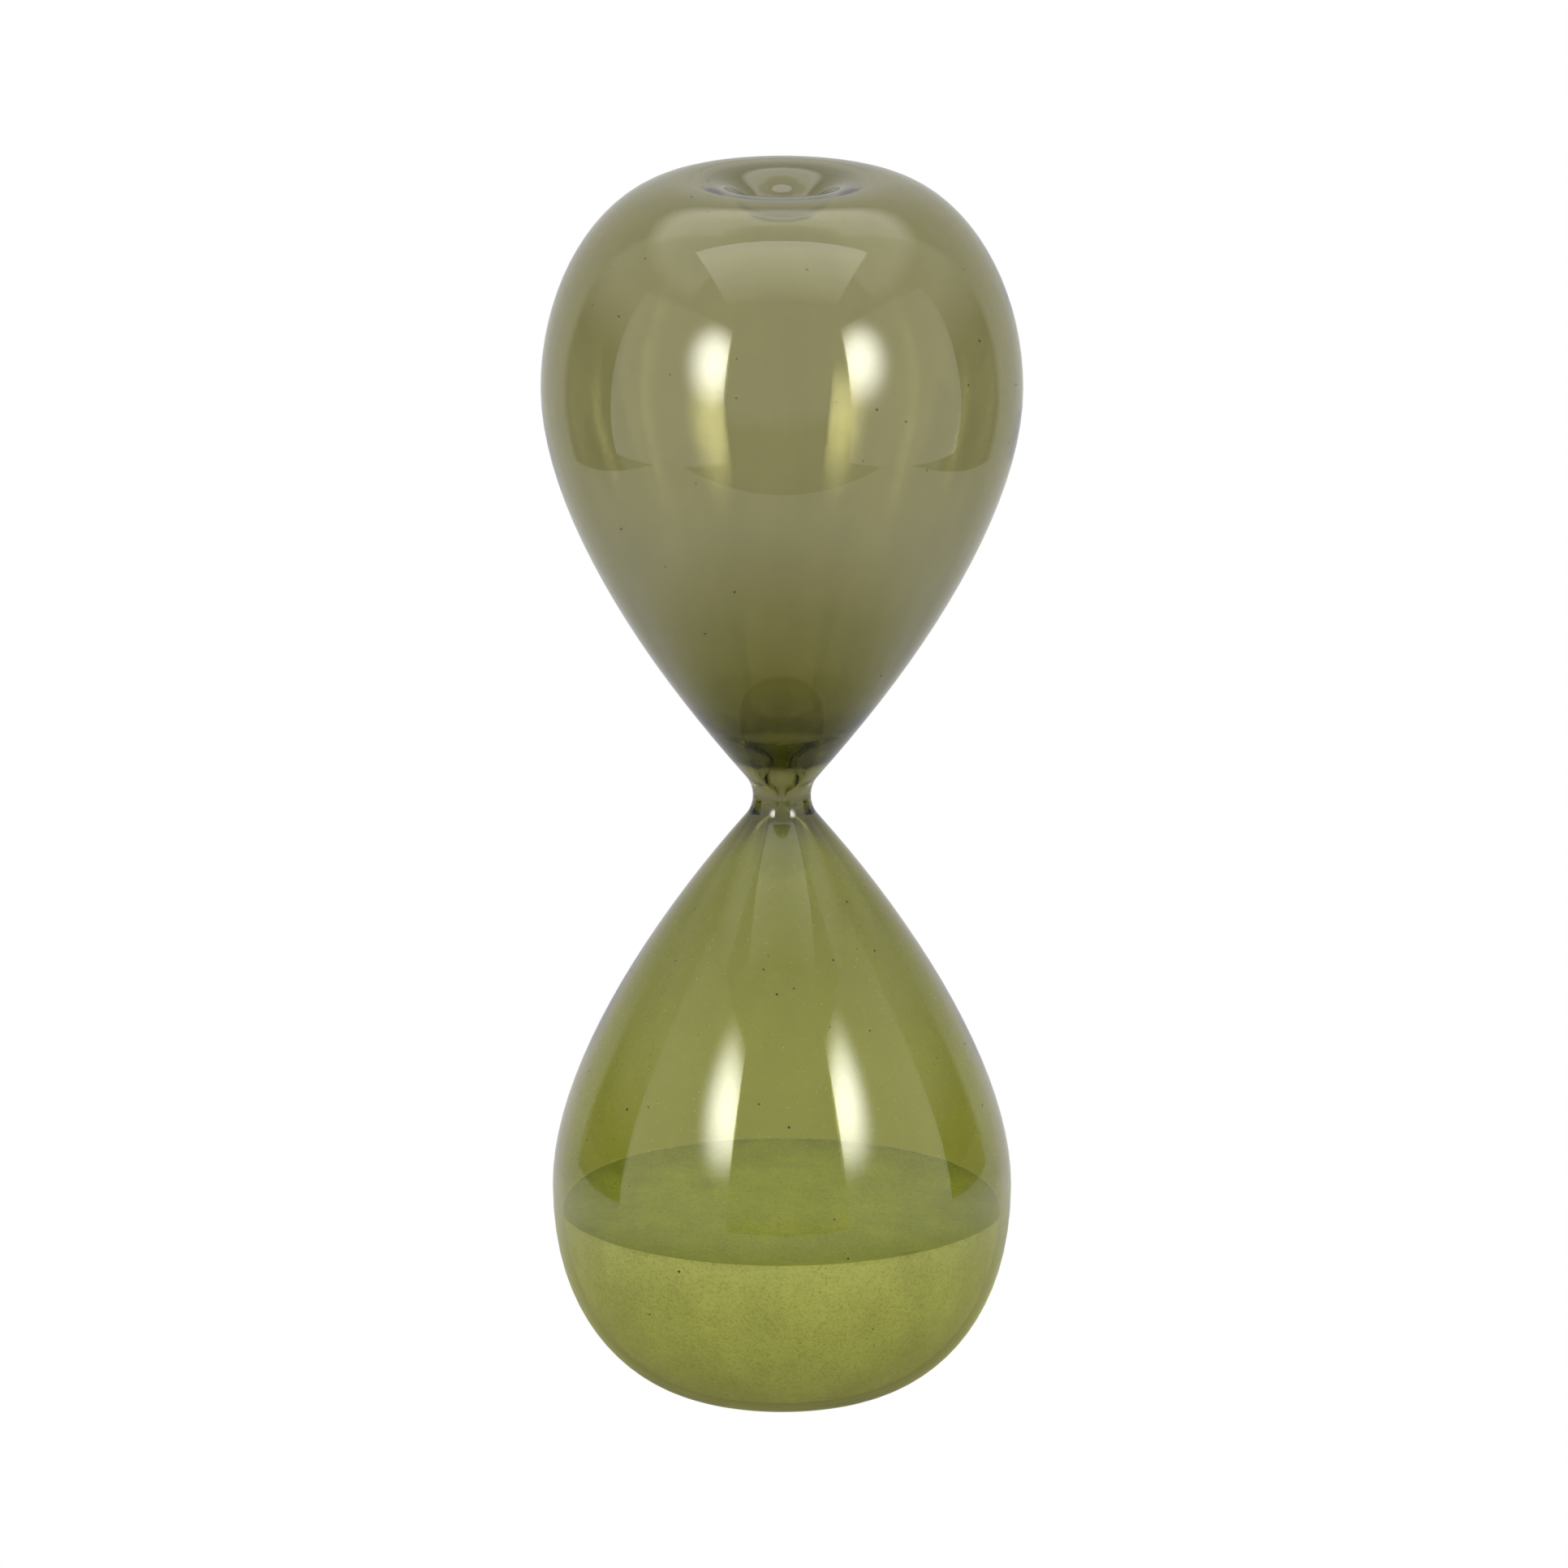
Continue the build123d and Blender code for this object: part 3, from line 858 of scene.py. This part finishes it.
def stagePlane(name, corners, material, seen=False):
    mesh = bpy.data.meshes.new(name)
    mesh.from_pydata(corners, [], [(0, 1, 2, 3)])
    mesh.uv_layers.new(name="UVMap")
    for loop, uv in zip(mesh.uv_layers[0].data, [(0, 0), (1, 0), (1, 1), (0, 1)]):
        loop.uv = uv
    mesh.materials.append(material)
    plane = bpy.data.objects.new(name, mesh)
    scene.collection.objects.link(plane)
    plane.visible_camera = seen


def softboxGlow(name, spot):
    # plain fabric with the lamp's hot spot behind it
    material, tree = newMaterial(name)
    uv = addNode(tree, "ShaderNodeTexCoord").outputs["UV"]
    away = addNode(tree, "ShaderNodeVectorMath", {0: uv, 1: (*spot, 0)}, operation="SUBTRACT")
    scaled = addNode(tree, "ShaderNodeVectorMath", {0: away, 1: (*studio["spotSize"], 1)},
                     operation="DIVIDE")
    distance = addNode(tree, "ShaderNodeVectorMath", {0: scaled}, operation="LENGTH")
    fade = addNode(tree, "ShaderNodeMapRange", {
        "Value": distance.outputs["Value"], "From Min": 0.0, "From Max": 1.0,
        "To Min": 1.0, "To Max": 0.0}, interpolation_type="SMOOTHERSTEP")
    strength = addNode(tree, "ShaderNodeMath", {
        0: fade, 1: studio["spotLight"], 2: studio["softboxLight"]}, operation="MULTIPLY_ADD")
    glow = addNode(tree, "ShaderNodeEmission", {"Strength": strength})
    addNode(tree, "ShaderNodeOutputMaterial", {"Surface": glow})
    return material


def softbox(name, centre, spot):
    # an upright panel that faces the axis
    width, tall = studio["softboxSize"]
    centre = Vector(centre)
    facing = Vector((-centre.x, -centre.y, 0)).normalized()
    right = facing.cross(Vector((0, 0, 1))) * width / 2
    up = Vector((0, 0, tall / 2))
    corners = [centre - right - up, centre + right - up, centre + right + up, centre - right + up]
    stagePlane(name, corners, softboxGlow(name, spot))


def overheadPanel(name, x, y, z, light):
    material, tree = newMaterial(name)
    coords = addNode(tree, "ShaderNodeTexCoord").outputs["Object"]
    backward = addNode(tree, "ShaderNodeSeparateXYZ", {0: coords}).outputs["Y"]
    strength = addNode(tree, "ShaderNodeMapRange", {
        "Value": backward, "From Min": y[0], "From Max": y[1],
        "To Min": light[0], "To Max": light[1]})
    glow = addNode(tree, "ShaderNodeEmission", {"Strength": strength})
    addNode(tree, "ShaderNodeOutputMaterial", {"Surface": glow})
    corners = [(x[0], y[0], z), (x[0], y[1], z), (x[1], y[1], z), (x[1], y[0], z)]
    stagePlane(name, corners, material)


# lengths in m
floor = {
    "half": 6.0,
    "drop": 0.2 * mm,  # under the foot
    "light": 1.2,
    "lightBehind": 0.65,
    "lightFade": (-0.1, 0.2),
    # each is (from this far, to this far, brightness within): the shade of the whole glass,
    # whose middle lies a little in front of it, and the deeper one right under it
    "shade": (0.02, 0.26, 0.56),
    "shadeCentre": (0, -0.03, 0),
    "contact": (0.025, 0.075, 0.75),
    "tint": "#E0E2A0",  # the light that comes through the glass colours the floor round its foot
    "tintReach": (0.04, 0.26),
    # only the table shows in reflections: this far to the front and to each side
    "tableFront": -0.38,
    "tableHalf": 0.5,
}


def whiteFloor():
    material, tree = newMaterial("white_floor")
    coords = addNode(tree, "ShaderNodeTexCoord").outputs["Object"]
    apart = addNode(tree, "ShaderNodeSeparateXYZ", {0: coords})
    path = addNode(tree, "ShaderNodeLightPath")
    tableLight = addNode(tree, "ShaderNodeMapRange", {
        "Value": apart.outputs["Y"],
        "From Min": floor["lightFade"][0], "From Max": floor["lightFade"][1],
        "To Min": floor["light"], "To Max": floor["lightBehind"]})
    away = addNode(tree, "ShaderNodeVectorMath", {0: coords, 1: floor["shadeCentre"]},
                   operation="DISTANCE")
    shade = addNode(tree, "ShaderNodeMapRange", {
        "Value": away.outputs["Value"], "From Min": floor["shade"][0],
        "From Max": floor["shade"][1], "To Min": floor["shade"][2], "To Max": 1.0},
        interpolation_type="SMOOTHSTEP")
    away = addNode(tree, "ShaderNodeVectorMath", {0: coords, 1: (0, 0, 0)}, operation="DISTANCE")
    contact = addNode(tree, "ShaderNodeMapRange", {
        "Value": away.outputs["Value"], "From Min": floor["contact"][0],
        "From Max": floor["contact"][1], "To Min": floor["contact"][2], "To Max": 1.0},
        interpolation_type="SMOOTHSTEP")
    untinted = addNode(tree, "ShaderNodeMapRange", {
        "Value": away.outputs["Value"], "From Min": floor["tintReach"][0],
        "From Max": floor["tintReach"][1], "To Min": 0.0, "To Max": 1.0},
        interpolation_type="SMOOTHSTEP")
    shade = addNode(tree, "ShaderNodeMath", {0: shade, 1: contact}, operation="MULTIPLY")
    shaded = addNode(tree, "ShaderNodeMath", {0: tableLight, 1: shade}, operation="MULTIPLY")
    # the sand is lit as the world lights it, and the camera sees plain white
    onSand = addNode(tree, "ShaderNodeMath", {0: path.outputs["Diffuse Depth"], 1: 0.5},
                     operation="GREATER_THAN")
    shaded = addNode(tree, "ShaderNodeMix", {0: onSand, 2: shaded, 3: studio["tableUnderSand"]},
                     data_type="FLOAT")
    seen = addNode(tree, "ShaderNodeMix", {0: path.outputs["Is Camera Ray"], 2: shaded, 3: 1.0},
                   data_type="FLOAT")
    plain = addNode(tree, "ShaderNodeMath", {0: untinted, 1: path.outputs["Is Camera Ray"]},
                    operation="MAXIMUM")
    plain = addNode(tree, "ShaderNodeMath", {0: plain, 1: onSand}, operation="MAXIMUM")
    colour = addNode(tree, "ShaderNodeMix", {0: plain, 6: linear(floor["tint"]), 7: (1, 1, 1, 1)},
                     data_type="RGBA").outputs[2]
    glow = addNode(tree, "ShaderNodeEmission", {"Color": colour, "Strength": seen})
    clear = addNode(tree, "ShaderNodeBsdfTransparent")
    past = addNode(tree, "ShaderNodeMath", {0: apart.outputs["Y"], 1: floor["tableFront"]},
                   operation="LESS_THAN")
    across = addNode(tree, "ShaderNodeMath", {0: apart.outputs["X"]}, operation="ABSOLUTE")
    beside = addNode(tree, "ShaderNodeMath", {0: across, 1: floor["tableHalf"]},
                     operation="GREATER_THAN")
    off = addNode(tree, "ShaderNodeMath", {0: past, 1: beside}, operation="MAXIMUM")
    gone = addNode(tree, "ShaderNodeMath", {0: off, 1: path.outputs["Is Reflection Ray"]},
                   operation="MULTIPLY")
    mixed = addNode(tree, "ShaderNodeMixShader", {0: gone, 1: glow, 2: clear})
    addNode(tree, "ShaderNodeOutputMaterial", {"Surface": mixed})
    half, z = floor["half"], -floor["drop"]
    corners = [(-half, -half, z), (half, -half, z), (half, half, z), (-half, half, z)]
    stagePlane("floor", corners, material, seen=True)


studioWorld()
whiteFloor()
for box in studio["softboxes"]:
    softbox(**box)
overheadPanel("overhead_front", **studio["overhead"])
scene.view_settings.view_transform = "Standard"
scene.cycles.max_bounces = 24
scene.cycles.transmission_bounces = 24
scene.cycles.glossy_bounces = 12
print("studio ready")
